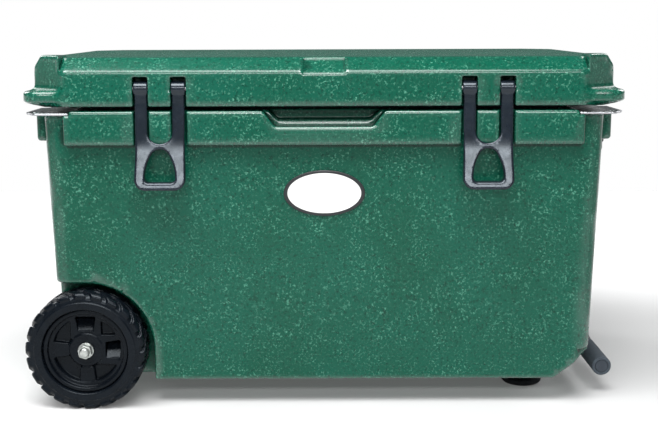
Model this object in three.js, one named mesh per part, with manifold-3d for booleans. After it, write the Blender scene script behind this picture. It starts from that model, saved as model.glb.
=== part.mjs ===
// A hard-sided cooler on two wheels, as a three.js scene graph of separate pieces.
// Millimetres. +X runs from the wheel end to the tow-handle end, +Y from the front with the latches
// to the back with the hinges, +Z up. The ground is z = 0 and the wheels stand on it.
import * as THREE from "three";
import { mergeVertices } from "three/addons/utils/BufferGeometryUtils.js";
import Module from "manifold-3d";

const wasm = await Module();
wasm.setup();

// ---- driving dimensions ----
const SKIN = 4; // plastic wall of the double-walled mouldings
const GAP = 0.3; // clearance between pieces that touch
const BASE_Z = 32; // underside of the body
const RIM = { bottom: 334, top: 375.5, frontX: 315, frontY: 205, sideX: 357, sideY: 167 };
const BODY = { x0: -344, x1: 344, y0: -193, y1: 193, z0: BASE_Z, z1: RIM.top, r: 18, draft: 0.023, bevel: 6 };
const CAVITY = { x0: -196, x1: 292, y0: -150, y1: 150, z0: 88, z1: RIM.top + 2, r: 24, draft: 0.02, bevel: 8 };
const CAVITY_STEP = { x0: -292, x1: 200, y0: -150, y1: 150, z0: 178, z1: RIM.top + 2, r: 24, draft: 0.02, bevel: 8 };
const LID = { bottom: 380.8, edge: 422.4, top: 439.5, frontX: 314, frontY: 205, sideX: 358, sideY: 163 };
const LID_CHAMFER = 20; // how far the lid's sloped edge runs in
const POST = { x: 318, y: 158, top: 442 }; // the lid's two front corners stand above its sloped edge
const EAR = { x: 367.5, y: 205, top: 399.5, r: 22 }; // flange round the foot of the lid
const LID_PLUG = { x0: -284, x1: 284, y0: -142, y1: 142, z0: 372, z1: 383, r: 22, draft: -0.1, bevel: 0 };
const GASKET = { x: 304, y: 162, width: 9, r: 26 };
const HINGE = { y: 214, z: 378.15, r: 9, rod: 4, centre: 190, lidHalf: 29.5, bodyWidth: 20 };
const LATCH = { centre: 198, half: 30.8, armInner: 15.2, pivotY: -197.5, pivotZ: 402, roll: 8.4, bottom: 281.5 };
const LATCH_SLOT = { inner: 13.6, outer: 32.2, depth: 19, top: 416.4 };
const LATCH_PIN = { r: 3, half: 41 };
const WHEEL = { x: -300.3, r: 75, outerY: 205, width: 46, rimR: 53.7, arch: 84, pocketY: 155 };
const AXLE = { r: 6, halfLength: 211, hubFaceY: 196 };
const FOOT = { x: 266, y: 96, padR: 26.5, padTop: 9.7 };
const TOW = { pivotX: 353.3, pivotZ: 321.5, barX: 361.3, barZ: 37, barR: 8.2, armY: 48, armR: 7 };
const TOW_BRACKET = { inner: 86, outer: 112, wallX: 344.7, faceX: 360 };
const GRIP = { r: 12.5, from: 58, to: 150 };
const PLATE = { z: 370.3, thickness: 2.6, inner: 308, front: 203, corner: 352, outer: 366, rimX: 355, hole: 4.5 };
const PLATE_HOLE = { x: 354, y: -184 };
const PLATE_SCREWS = [-140, -82];
const BRACKET_SCREWS = { z: 329.5, inner: 93, outer: 105 };
const BADGE = { z: 273.3, halfX: 50, halfZ: 28.5, thickness: 2 };
const DRAIN = { z: 104, bore: 11, stem: 10.5, head: 19, wallX: -338.2 };

// ---- materials ----
function plastic(color, roughness) {
  return new THREE.MeshStandardMaterial({ color, roughness, metalness: 0 });
}

function metal(color, roughness) {
  return new THREE.MeshStandardMaterial({ color, roughness, metalness: 1 });
}

const shellGreen = plastic("#2d6b59", 0.5);
const foam = plastic("#e6d9a8", 0.95);
const blackPlastic = plastic("#2a2e32", 0.45);
const rubber = plastic("#1d2023", 0.8);
const gripFoam = plastic("#41494f", 0.9);
const stainless = metal("#c4c8cb", 0.3);
const zinc = metal("#b9bdb8", 0.35);
const blackSteel = metal("#2b2d30", 0.5);
const badgeWhite = plastic("#f2f2ee", 0.4);
const sealGrey = plastic("#55595c", 0.85);

// ---- solids ----
function solid(geometry) {
  const bare = geometry.clone();
  bare.deleteAttribute("normal");
  bare.deleteAttribute("uv");
  const merged = mergeVertices(bare, 1e-4);
  return new wasm.Manifold(
    new wasm.Mesh({
      numProp: 3,
      vertProperties: merged.attributes.position.array,
      triVerts: new Uint32Array(merged.index.array),
    }),
  );
}

function toGeometry(manifold) {
  const mesh = manifold.getMesh();
  const geometry = new THREE.BufferGeometry();
  geometry.setAttribute("position", new THREE.BufferAttribute(mesh.vertProperties, 3));
  geometry.setIndex(new THREE.BufferAttribute(mesh.triVerts, 1));
  const flat = geometry.toNonIndexed();
  flat.computeVertexNormals();
  return flat;
}

function union(parts) {
  return parts.reduce((sum, part) => sum.add(part));
}

function cut(from, tools) {
  return tools.reduce((rest, tool) => rest.subtract(tool), from);
}

// ---- plain shapes ----
function box(x0, x1, y0, y1, z0, z1) {
  const geometry = new THREE.BoxGeometry(x1 - x0, y1 - y0, z1 - z0);
  return solid(geometry.translate((x0 + x1) / 2, (y0 + y1) / 2, (z0 + z1) / 2));
}

function cylinderY(r, x, z, y0, y1, segments = 16) {
  const geometry = new THREE.CylinderGeometry(r, r, y1 - y0, segments);
  return solid(geometry.translate(x, (y0 + y1) / 2, z));
}

function cylinderX(r, y, z, x0, x1, segments = 16) {
  const geometry = new THREE.CylinderGeometry(r, r, x1 - x0, segments);
  return solid(geometry.rotateZ(-Math.PI / 2).translate((x0 + x1) / 2, y, z));
}

function cylinderZ(rLow, rHigh, x, y, z0, z1, segments = 16) {
  const geometry = new THREE.CylinderGeometry(rHigh, rLow, z1 - z0, segments);
  return solid(geometry.rotateX(Math.PI / 2).translate(x, y, (z0 + z1) / 2));
}

// An outline drawn in the XY plane, raised along Z.
function prismZ(shape, z0, z1, curveSegments = 8) {
  const geometry = new THREE.ExtrudeGeometry(shape, { depth: z1 - z0, bevelEnabled: false, curveSegments });
  return solid(geometry.translate(0, 0, z0));
}

// An outline drawn as (x, z), extruded along Y.
function prismY(shape, y0, y1, curveSegments = 8) {
  const geometry = new THREE.ExtrudeGeometry(shape, { depth: y1 - y0, bevelEnabled: false, curveSegments });
  return solid(geometry.rotateX(Math.PI / 2).translate(0, y1, 0));
}

// An outline drawn as (y, z), extruded along X.
function prismX(shape, x0, x1, curveSegments = 8) {
  const geometry = new THREE.ExtrudeGeometry(shape, { depth: x1 - x0, bevelEnabled: false, curveSegments });
  return solid(geometry.rotateX(Math.PI / 2).rotateZ(Math.PI / 2).translate(x0, 0, 0));
}

function polygon(points) {
  return new THREE.Shape(points.map(([a, b]) => new THREE.Vector2(a, b)));
}

// Points of a rounded rectangle, anticlockwise, at height z.
function roundedRing(x0, x1, y0, y1, r, z, perCorner = 5) {
  const corners = [
    [x1 - r, y0 + r, -Math.PI / 2],
    [x1 - r, y1 - r, 0],
    [x0 + r, y1 - r, Math.PI / 2],
    [x0 + r, y0 + r, Math.PI],
  ];
  const ring = [];
  for (const [cx, cy, start] of corners) {
    for (let i = 0; i <= perCorner; i++) {
      const angle = start + (i / perCorner) * (Math.PI / 2);
      ring.push(new THREE.Vector3(cx + r * Math.cos(angle), cy + r * Math.sin(angle), z));
    }
  }
  return ring;
}

// A closed skin through rings of equal point count, lowest first, with flat convex ends.
function loft(rings) {
  const count = rings[0].length;
  const positions = rings.flat().flatMap((p) => [p.x, p.y, p.z]);
  const index = [];
  for (let level = 0; level < rings.length - 1; level++) {
    for (let i = 0; i < count; i++) {
      const a = level * count + i;
      const b = level * count + ((i + 1) % count);
      index.push(a, b, b + count, a, b + count, a + count);
    }
  }
  const last = (rings.length - 1) * count;
  for (let i = 1; i < count - 1; i++) {
    index.push(0, i + 1, i);
    index.push(last, last + i, last + i + 1);
  }
  const geometry = new THREE.BufferGeometry();
  geometry.setAttribute("position", new THREE.Float32BufferAttribute(positions, 3));
  geometry.setIndex(index);
  return solid(geometry);
}

// A box with rounded upright edges that narrows downwards by its draft, grown by g all round.
function draftedBox(b, g = 0) {
  const z0 = b.z0 - g;
  const z1 = b.z1 + g;
  const r = Math.max(b.r + g, 2);
  const ring = (z, inset) => {
    const d = inset + b.draft * (b.z1 - z) - g;
    return roundedRing(b.x0 + d, b.x1 - d, b.y0 + d, b.y1 - d, r, z);
  };
  const rings = [ring(z0, b.bevel), ring(z0 + b.bevel, 0), ring(z1, 0)];
  return loft(b.bevel > 0 ? rings : [rings[0], rings[2]]);
}

// ---- shared cutting shapes; g grows a shape, so that a wall is left round it ----
function bodyOuter(g) {
  const front = box(-RIM.frontX - g, RIM.frontX + g, -RIM.frontY - g, RIM.frontY + g, RIM.bottom - g, RIM.top + g);
  const side = box(-RIM.sideX - g, RIM.sideX + g, -RIM.sideY - g, RIM.sideY + g, RIM.bottom - g, RIM.top + g);
  return union([draftedBox(BODY, g), front, side]);
}

function cavity(g) {
  return union([draftedBox(CAVITY, g), draftedBox(CAVITY_STEP, g)]);
}

function wheelPocket(side, g) {
  const inner = side * (WHEEL.pocketY - g);
  const outer = side * 240;
  const [y0, y1] = [Math.min(inner, outer), Math.max(inner, outer)];
  const r = WHEEL.arch + g;
  const round = cylinderY(r, WHEEL.x, WHEEL.r, y0, y1, 48);
  const openEnd = box(-420, WHEEL.x, y0, y1, -10, WHEEL.r + r);
  const openBase = box(WHEEL.x - r, WHEEL.x + r, y0, y1, -10, WHEEL.r);
  return union([round, openEnd, openBase]);
}

function axleTunnel(g) {
  return cylinderY(AXLE.r + 1 + g, WHEEL.x, WHEEL.r, -WHEEL.pocketY - 1, WHEEL.pocketY + 1);
}

function drainBore(g) {
  return cylinderX(DRAIN.bore + g, 0, DRAIN.z, -350, CAVITY.x0 + 14, 20);
}

function handRecess(g) {
  const step = (topHalf, lowHalf, low, y1) => {
    const rise = RIM.top + 2 - low;
    const slope = (topHalf - lowHalf) / (RIM.top - low);
    const top = lowHalf + slope * rise;
    const shape = polygon([
      [-top - g, RIM.top + 2 + g],
      [-lowHalf - g, low - g],
      [lowHalf + g, low - g],
      [top + g, RIM.top + 2 + g],
    ]);
    return prismY(shape, -RIM.frontY - 2, y1 + g);
  };
  return union([step(74.3, 60, 356, -191), step(69, 57, 363.5, -174)]);
}

function latchSlots(z0, z1, floorY, g) {
  const slots = [];
  for (const side of [-1, 1]) {
    for (const arm of [-1, 1]) {
      const middle = side * LATCH.centre + (arm * (LATCH_SLOT.inner + LATCH_SLOT.outer)) / 2;
      const half = (LATCH_SLOT.outer - LATCH_SLOT.inner) / 2 + g;
      slots.push(box(middle - half, middle + half, -RIM.frontY - 3, floorY + g, z0 - g, z1 + g));
    }
  }
  return union(slots);
}

// The outline of a lock plate, which lies in a step of the rim and reaches out over the corner notch.
function plateShape(side, g = 0) {
  const points = [
    [PLATE.inner - g, -PLATE.front - 4 * g],
    [PLATE.corner, -PLATE.front - 4 * g],
    [PLATE.outer + g, -180],
    [PLATE.outer + g, -120],
    [PLATE.rimX + 2 * g, -104 + g],
    [PLATE.rimX + 2 * g, -62 + g],
    [PLATE.inner - g, -62 + g],
  ].map(([x, y]) => [side * x, y]);
  return polygon(side > 0 ? points : points.reverse());
}

function footBoss(y, g) {
  return cylinderZ(24 + g, 30 + g, FOOT.x, y, FOOT.padTop + GAP - g, BASE_Z + 8, 24);
}

function fillPort(g) {
  return cylinderZ(18 + g, 18 + g, 60, 0, BASE_Z - 1, BASE_Z + 12, 24);
}

// Reliefs at the two lower corners of the tow-handle end.
function lowerCornerCut(g) {
  const slope = polygon([
    [291 - g, 20],
    [360, 20],
    [360, 67],
    [332 - g, 64 + g],
    [291 - g, BASE_Z + g],
  ]);
  const parts = [prismY(slope, -230, 230)];
  for (const side of [-1, 1]) {
    const points = [
      [318 - g, side * 200],
      [318 - g, side * (186 - g)],
      [335, side * (169 - g)],
      [350, side * (169 - g)],
      [350, side * 200],
    ];
    parts.push(prismZ(polygon(side < 0 ? points.reverse() : points), 20, 71 + g));
  }
  return union(parts);
}

// ---- body mouldings ----
function bodyKnuckle(x0, x1) {
  const web = polygon([
    [204, 348],
    [222.5, 375],
    [HINGE.y, HINGE.z],
    [205.4, 375.2],
    [204, 375.2],
  ]);
  return union([cylinderX(HINGE.r, HINGE.y, HINGE.z, x0, x1, 20), prismX(web, x0, x1)]);
}

function lidKnuckle(x0, x1) {
  const web = polygon([
    [204, 408],
    [204, 381.2],
    [205.4, 381.2],
    [HINGE.y, HINGE.z],
    [222.5, 382],
  ]);
  return union([cylinderX(HINGE.r, HINGE.y, HINGE.z, x0, x1, 20), prismX(web, x0, x1)]);
}

function hingeSpans(centre) {
  const inner = HINGE.lidHalf + 0.5;
  const outer = inner + HINGE.bodyWidth;
  return [
    [centre - outer, centre - inner],
    [centre + inner, centre + outer],
  ];
}

function bodyRemovals(g) {
  return [
    cavity(g),
    wheelPocket(-1, g),
    wheelPocket(1, g),
    axleTunnel(g),
    drainBore(g),
    handRecess(g),
    latchSlots(RIM.bottom - 2, RIM.top + 2, -RIM.frontY + 12, g),
    lowerCornerCut(g),
  ];
}

// The hollow between the outer skin and the liner, which the foam fills.
function bodyHollow(g) {
  const bores = [];
  for (const side of [-1, 1]) {
    bores.push(cylinderZ(10 + g, 10 + g, FOOT.x, side * FOOT.y, 0, BASE_Z + 34));
    bores.push(box(-400, 400, 196 - g, 215, RIM.bottom - 10, RIM.top + 5));
    for (const y of PLATE_SCREWS) {
      bores.push(cylinderZ(7 + g, 7 + g, side * 342, y, RIM.bottom - 20, RIM.top + 5));
      bores.push(prismZ(plateShape(side, SKIN + g), PLATE.z - GAP - SKIN - g, RIM.top + 5));
    }
    bores.push(box(320 - g, 350, side * 99 - 18 - g, side * 99 + 18 + g, 300 - g, 345 + g));
  }
  return cut(bodyOuter(-SKIN - g), [...bodyRemovals(SKIN + g), ...bores]);
}

function bodyShell() {
  const knuckles = [-1, 1].flatMap((side) => hingeSpans(side * HINGE.centre).map(([a, b]) => bodyKnuckle(a, b)));
  const bosses = [footBoss(-FOOT.y, 0), footBoss(FOOT.y, 0)];
  let shell = cut(union([bodyOuter(0), ...bosses]), bodyRemovals(0));
  shell = cut(union([shell, ...knuckles]), [bodyHollow(0), fillPort(0)]);
  const tools = [];
  for (const side of [-1, 1]) {
    tools.push(cylinderX(HINGE.rod + 0.25, HINGE.y, HINGE.z, side * HINGE.centre - 55, side * HINGE.centre + 55));
    tools.push(prismZ(plateShape(side, 0.8), PLATE.z - GAP, RIM.top + 5));
    tools.push(cylinderZ(2.8, 2.8, FOOT.x, side * FOOT.y, 0, BASE_Z + 20));
    for (const y of PLATE_SCREWS) {
      tools.push(cylinderZ(2.3, 2.3, side * 342, y, PLATE.z - 22, RIM.top + 5));
    }
    for (const y of [BRACKET_SCREWS.inner, BRACKET_SCREWS.outer]) {
      tools.push(cylinderX(2.3, side * y, BRACKET_SCREWS.z, 325, 350));
    }
  }
  return cut(shell, tools);
}

function fillPlug(x, y, z0, z1, headR, headZ0, headZ1) {
  return union([cylinderZ(17.6, 17.6, x, y, z0, z1, 24), cylinderZ(headR, headR, x, y, headZ0, headZ1, 24)]);
}

// ---- lid mouldings ----
// One level of the lid's eight-sided outline; the long sides lean in by inset, the ends by sideInset.
function lidRing(inset, sideInset, z, g) {
  const fx = LID.frontX - inset * 0.2 + g * 0.4;
  const fy = LID.frontY - inset + g;
  const sx = LID.sideX - sideInset + g;
  const sy = LID.sideY - inset * 0.5 + g * 0.4;
  const outline = [
    [fx, -fy],
    [sx, -sy],
    [sx, sy],
    [fx, fy],
    [-fx, fy],
    [-sx, sy],
    [-sx, -sy],
    [-fx, -fy],
  ];
  return outline.map(([x, y]) => new THREE.Vector3(x, y, z));
}

// The upright front corners of the lid, sloped only at their outer ends.
function cornerPosts() {
  const prism = loft([lidRing(0, 0, LID.bottom, 0), lidRing(0, 0, POST.top, 0)]);
  const posts = [];
  for (const side of [-1, 1]) {
    const points = [
      [POST.x, 400],
      [LID.sideX, 400],
      [LID.sideX, POST.top - 15],
      [LID.sideX - 12, POST.top],
      [POST.x, POST.top],
    ].map(([x, z]) => [side * x, z]);
    const outline = polygon(side > 0 ? points : points.reverse());
    posts.push(prismY(outline, -LID.frontY, -POST.y));
  }
  return union(posts).intersect(prism);
}

// The lid block with the flange round its foot; the flange is left out of the hollow inside.
function lidOuter(g) {
  const top = loft([
    lidRing(0, 0, LID.bottom - g, g),
    lidRing(0, 0, LID.edge, g),
    lidRing(LID_CHAMFER, 13, LID.top + g, g),
  ]);
  if (g < 0) return top;
  const ear = (z, inset) => {
    const x = EAR.x - inset + g;
    const y = EAR.y - Math.min(inset, 0.5) + g;
    return roundedRing(-x, x, -y, y, EAR.r + g, z);
  };
  const flange = loft([
    ear(LID.bottom - g, 7),
    ear(LID.bottom + 4, 1.5),
    ear(LID.bottom + 8, 0),
    ear(EAR.top - 5, 0),
    ear(EAR.top + g, 4),
  ]);
  return union([top, flange, cornerPosts()]);
}

function lidHollow(g) {
  const tools = [latchSlots(LID.bottom, LATCH_SLOT.top, -LATCH_SLOT.depth - 167, SKIN + g)];
  for (const side of [-1, 1]) {
    const centre = side * LATCH.centre;
    const half = LATCH_PIN.half + 3 + g;
    tools.push(cylinderX(8 + g, LATCH.pivotY, LATCH.pivotZ, centre - half, centre + half));
    tools.push(cylinderZ(9.5 + g, 9.5 + g, side * PLATE_HOLE.x, PLATE_HOLE.y, LID.bottom - 5, EAR.top + 5));
    const rear = HINGE.lidHalf + g;
    tools.push(box(side * HINGE.centre - rear, side * HINGE.centre + rear, 196 - g, 220, LID.bottom - 5, 412));
  }
  return cut(lidOuter(-SKIN - g), tools);
}

function lidShell() {
  const knuckles = [-1, 1].map((side) =>
    lidKnuckle(side * HINGE.centre - HINGE.lidHalf, side * HINGE.centre + HINGE.lidHalf),
  );
  const tools = [
    lidHollow(0),
    latchSlots(LID.bottom - 4, LATCH_SLOT.top, -LATCH_SLOT.depth - 167, 0),
    cylinderZ(18, 18, 0, 0, LID_PLUG.z0 - 1, LID.bottom + 12, 24),
  ];
  for (const side of [-1, 1]) {
    const centre = side * LATCH.centre;
    tools.push(
      cylinderX(LATCH_PIN.r + 0.2, LATCH.pivotY, LATCH.pivotZ, centre - LATCH_PIN.half - 1, centre + LATCH_PIN.half + 1),
    );
    tools.push(cylinderX(HINGE.rod + 0.25, HINGE.y, HINGE.z, side * HINGE.centre - 55, side * HINGE.centre + 55));
    tools.push(cylinderZ(PLATE.hole, PLATE.hole, side * PLATE_HOLE.x, PLATE_HOLE.y, LID.bottom - 5, EAR.top + 5, 20));
  }
  return cut(union([lidOuter(0), draftedBox(LID_PLUG), ...knuckles]), tools);
}

function gasket() {
  const { x, y, width, r } = GASKET;
  const z0 = RIM.top + GAP;
  const z1 = LID.bottom - GAP;
  const outer = loft([roundedRing(-x, x, -y, y, r, z0), roundedRing(-x, x, -y, y, r, z1)]);
  const [ix, iy, ir] = [x - width, y - width, r - width];
  const inner = loft([roundedRing(-ix, ix, -iy, iy, ir, z0 - 1), roundedRing(-ix, ix, -iy, iy, ir, z1 + 1)]);
  return cut(outer, [inner]);
}

// ---- latches ----
// Front view of a latch: two arms, a round-bottomed fork between them and a finger hole below.
function latchOutline() {
  const { half, armInner, bottom } = LATCH;
  const top = 412;
  const forkZ = 351.7;
  const corner = 10;
  const shape = new THREE.Shape();
  shape.moveTo(-half, top);
  shape.lineTo(-half, bottom + corner);
  shape.absarc(-half + corner, bottom + corner, corner, Math.PI, 1.5 * Math.PI, false);
  shape.lineTo(half - corner, bottom);
  shape.absarc(half - corner, bottom + corner, corner, -Math.PI / 2, 0, false);
  shape.lineTo(half, top);
  shape.lineTo(armInner, top);
  shape.lineTo(armInner, forkZ);
  shape.absarc(0, forkZ, armInner, 0, -Math.PI, true);
  shape.lineTo(-armInner, top);
  const hole = new THREE.Path();
  hole.moveTo(-14, 291);
  hole.lineTo(14, 291);
  hole.quadraticCurveTo(18.4, 291, 18.4, 295.5);
  hole.bezierCurveTo(18.4, 316, 11, 329.5, 0, 329.5);
  hole.bezierCurveTo(-11, 329.5, -18.4, 316, -18.4, 295.5);
  hole.quadraticCurveTo(-18.4, 291, -14, 291);
  shape.holes.push(hole);
  return shape;
}

// Side view of a latch: thin arms that lean out into a thicker finger pull.
function latchSide() {
  return polygon([
    [-204.6, 402],
    [-204.9, 385],
    [-212.2, 336],
    [-217, 308],
    [-225, LATCH.bottom - 1],
    [-211.5, LATCH.bottom - 1],
    [-206.6, 310],
    [-205.7, 347],
    [-198.6, 385],
    [-197, 402],
  ]);
}

function latch() {
  const { half, pivotY, pivotZ, roll } = LATCH;
  const side = union([prismX(latchSide(), -half - 1, half + 1), cylinderX(roll, pivotY, pivotZ, -half - 1, half + 1, 24)]);
  const front = prismY(latchOutline(), -240, -180, 6);
  return cut(front.intersect(side), [cylinderX(LATCH_PIN.r + 0.2, pivotY, pivotZ, -half - 2, half + 2)]);
}

// ---- wheels ----
function lathe(profile, segments) {
  const closed = [...profile, profile[0]].map(([r, y]) => new THREE.Vector2(r, y));
  return solid(new THREE.LatheGeometry(closed, segments));
}

function tyre() {
  const h = WHEEL.width / 2;
  const { r, rimR } = WHEEL;
  const inner = rimR + GAP;
  return lathe(
    [
      [inner, -h + 4],
      [inner + 4, -h],
      [r - 9, -h],
      [r - 3, -h + 3],
      [r, -h + 9],
      [r, h - 9],
      [r - 3, h - 3],
      [r - 9, h],
      [inner + 4, h],
      [inner, h - 4],
    ],
    48,
  );
}

function wheelRim() {
  const h = WHEEL.width / 2;
  const hubFace = h - (WHEEL.outerY - AXLE.hubFaceY);
  const body = lathe(
    [
      [9.3, -hubFace],
      [20, -hubFace],
      [24, -hubFace - 2],
      [44, -hubFace - 1],
      [48, -h + 4],
      [WHEEL.rimR, -h + 4],
      [WHEEL.rimR, h - 4],
      [48, h - 4],
      [46, 2],
      [22, 2],
      [20, hubFace],
      [9.3, hubFace],
    ],
    48,
  );
  const pockets = [0, 1, 2, 3].map((k) => {
    const shape = polygon([
      [-9.5, 24],
      [9.5, 24],
      [13, 43],
      [-13, 43],
    ]);
    const pocket = new THREE.ExtrudeGeometry(shape, { depth: 10, bevelEnabled: false });
    return solid(pocket.rotateX(Math.PI / 2).rotateY((k * Math.PI) / 2).translate(0, -6, 0));
  });
  return cut(body, pockets);
}

function wheelBush() {
  return lathe(
    [
      [AXLE.r + 0.3, -13.5],
      [9, -13.5],
      [9, 13.5],
      [AXLE.r + 0.3, 13.5],
    ],
    24,
  );
}

function hexNut() {
  const body = new THREE.CylinderGeometry(9.2, 9.2, 8, 6).rotateY(Math.PI / 6);
  return cut(solid(body), [cylinderY(AXLE.r + 0.3, 0, 0, -5, 5)]);
}

function axleWasher() {
  return cut(cylinderY(9.9, 0, 0, -1, 1, 24), [cylinderY(AXLE.r + 0.3, 0, 0, -2, 2)]);
}

// ---- tow handle ----
function towBracket(side) {
  const { inner, outer, wallX, faceX } = TOW_BRACKET;
  const shape = polygon([
    [wallX, 307],
    [352, 309],
    [faceX, 317],
    [faceX, RIM.bottom - 0.5],
    [wallX, RIM.bottom - 0.5],
  ]);
  const [y0, y1] = side < 0 ? [-outer, -inner] : [inner, outer];
  const boreFrom = side < 0 ? -outer + 4 : inner - 1;
  const boreTo = side < 0 ? -inner + 1 : outer - 4;
  const tools = [cylinderY(5.3, TOW.pivotX, TOW.pivotZ, boreFrom, boreTo, 20)];
  for (const y of [BRACKET_SCREWS.inner, BRACKET_SCREWS.outer]) {
    tools.push(cylinderX(2.3, side * y, BRACKET_SCREWS.z, wallX - 1, faceX + 1, 12));
  }
  return cut(prismY(shape, y0, y1), tools);
}

function towArm(y) {
  const { pivotX, pivotZ, barX, barZ, barR, armR } = TOW;
  const length = Math.hypot(barX - pivotX, pivotZ - barZ);
  const rod = new THREE.CylinderGeometry(armR, armR, length, 16).rotateX(Math.PI / 2);
  rod.rotateY(Math.atan2(pivotX - barX, pivotZ - barZ));
  rod.translate((pivotX + barX) / 2, y, (pivotZ + barZ) / 2);
  const eye = cylinderY(8.5, pivotX, pivotZ, y - 8, y + 8, 20);
  const collar = cylinderY(12, barX, barZ, y - 9, y + 9, 20);
  const holes = [
    cylinderY(5.3, pivotX, pivotZ, y - 10, y + 10, 16),
    cylinderY(barR + GAP, barX, barZ, y - 11, y + 11, 20),
  ];
  return cut(union([solid(rod), eye, collar]), holes);
}

function tubeY(outer, inner, x, z, y0, y1, segments = 20) {
  return cut(cylinderY(outer, x, z, y0, y1, segments), [cylinderY(inner, x, z, y0 - 1, y1 + 1, segments)]);
}

function towEndPlug(side) {
  const [x, z] = [TOW.barX, TOW.barZ];
  const face = GRIP.to - 0.5;
  const head = [side * (face - 2), side * face].sort((a, b) => a - b);
  const stem = [side * (face - 14), side * (face - 1)].sort((a, b) => a - b);
  return union([cylinderY(8.2, x, z, head[0], head[1], 20), cylinderY(6.3, x, z, stem[0], stem[1], 20)]);
}

// ---- small fittings ----
// A screw standing along +Z with the underside of its head at the origin.
function screw(shaftR, length, headR, headHeight) {
  const head = cylinderZ(headR, headR * 0.8, 0, 0, 0, headHeight, 16);
  const slot = box(-headR, headR, -0.5, 0.5, headHeight - 0.6, headHeight + 1);
  return cut(union([cylinderZ(shaftR * 0.8, shaftR, 0, 0, -length, 0.5, 12), head]), [slot]);
}

// A countersunk screw standing along +Z with the top of its head at the origin.
function flatScrew() {
  const head = cylinderZ(1.9, 4.3, 0, 0, -2.4, 0, 16);
  const slot = box(-5, 5, -0.5, 0.5, -0.7, 1);
  return cut(union([cylinderZ(1.6, 2, 0, 0, -18, -2, 12), head]), [slot]);
}

function lockPlate(side) {
  const plate = prismZ(plateShape(side), PLATE.z, PLATE.z + PLATE.thickness);
  const holes = [cylinderZ(PLATE.hole, PLATE.hole, side * PLATE_HOLE.x, PLATE_HOLE.y, 360, 380, 20)];
  for (const y of PLATE_SCREWS) {
    holes.push(cylinderZ(2.4, 2.4, side * 342, y, 360, 380, 12));
    holes.push(cylinderZ(2.4, 5.1, side * 342, y, PLATE.z + GAP, PLATE.z + PLATE.thickness + GAP, 16));
  }
  return cut(plate, holes);
}

function footPad(y) {
  const { x, padR, padTop } = FOOT;
  const pad = union([
    cylinderZ(padR - 3, padR, x, y, 0, 3, 28),
    cylinderZ(padR, padR, x, y, 3, padTop - 2, 28),
    cylinderZ(padR, padR - 2, x, y, padTop - 2, padTop, 28),
  ]);
  return cut(pad, [cylinderZ(7, 7, x, y, -1, 5, 16), cylinderZ(3, 3, x, y, 0, padTop + 1, 12)]);
}

function badge() {
  const shape = new THREE.Shape();
  shape.absellipse(0, 0, BADGE.halfX, BADGE.halfZ, 0, 2 * Math.PI, false, 0);
  const geometry = new THREE.ExtrudeGeometry(shape, { depth: BADGE.thickness, bevelEnabled: false, curveSegments: 24 });
  return solid(geometry.rotateX(Math.PI / 2));
}

function drainCap() {
  const { wallX, head, stem, z } = DRAIN;
  const faceX = wallX - 3.2;
  const parts = [
    cylinderX(head, 0, z, faceX - 6, faceX, 28),
    cylinderX(stem, 0, z, faceX, faceX + 26, 20),
    box(faceX - 14, faceX - 5, -3, 3, z - 15, z + 15),
  ];
  return union(parts);
}

function drainSeal() {
  const { wallX, head, stem, z } = DRAIN;
  const ring = cylinderX(head - 2, 0, z, wallX - 2.9, wallX - 0.6, 28);
  return cut(ring, [cylinderX(stem + 0.3, 0, z, wallX - 5, wallX + 2, 20)]);
}

// ---- assembly ----
const cooler = new THREE.Group();
// The latches reach further forward than the hinges reach back, so the model is set back to centre it.
cooler.position.y = 1;
const assembly = new THREE.Group();
assembly.add(cooler);

function add(name, manifold, material, place) {
  const mesh = new THREE.Mesh(toGeometry(manifold), material);
  mesh.name = name;
  if (place) place(mesh);
  cooler.add(mesh);
  return mesh;
}

function addBody() {
  add("body_shell", bodyShell(), shellGreen);
  add("body_foam", cut(bodyHollow(GAP), [fillPort(GAP)]), foam);
  add("body_fill_plug", fillPlug(60, 0, BASE_Z - 0.4, BASE_Z + 4, 21, BASE_Z - 3, BASE_Z - GAP), blackPlastic);
  const tilt = Math.atan(BODY.draft);
  add("badge_plate", badge(), badgeWhite, (mesh) => {
    mesh.position.set(0, BODY.y0 + BODY.draft * (BODY.z1 - BADGE.z) - GAP, BADGE.z);
    mesh.rotation.x = tilt;
  });
  add("drain_cap", drainCap(), blackPlastic);
  add("drain_seal", drainSeal(), rubber);
}

function addLid() {
  add("lid_shell", lidShell(), shellGreen);
  const port = cylinderZ(18 + GAP, 18 + GAP, 0, 0, LID.bottom, LID.bottom + 9, 24);
  add("lid_foam", cut(lidHollow(GAP), [port]), foam);
  const plugZ = LID_PLUG.z0;
  add("lid_fill_plug", fillPlug(0, 0, plugZ - 0.4, LID.bottom + 4, 21, plugZ - 2.5, plugZ - GAP), blackPlastic);
  add("lid_gasket", gasket(), sealGrey);
}

function addSided() {
  for (const [label, side] of [["left", -1], ["right", 1]]) {
    const hingeX = side * HINGE.centre;
    const latchX = side * LATCH.centre;
    add("hinge_rod_" + label, cylinderX(HINGE.rod, HINGE.y, HINGE.z, hingeX - 50, hingeX + 50), stainless);
    add("latch_" + label, latch(), blackPlastic, (mesh) => mesh.position.setX(latchX));
    const pinFrom = latchX - LATCH_PIN.half;
    const pinTo = latchX + LATCH_PIN.half;
    add("latch_pin_" + label, cylinderX(LATCH_PIN.r, LATCH.pivotY, LATCH.pivotZ, pinFrom, pinTo, 14), stainless);
    add("lock_plate_" + label, lockPlate(side), stainless);
    PLATE_SCREWS.forEach((y, i) => {
      add("lock_plate_screw_" + label + "_" + (i + 1), flatScrew(), stainless, (mesh) =>
        mesh.position.set(side * 342, y, PLATE.z + PLATE.thickness),
      );
    });
  }
}

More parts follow.
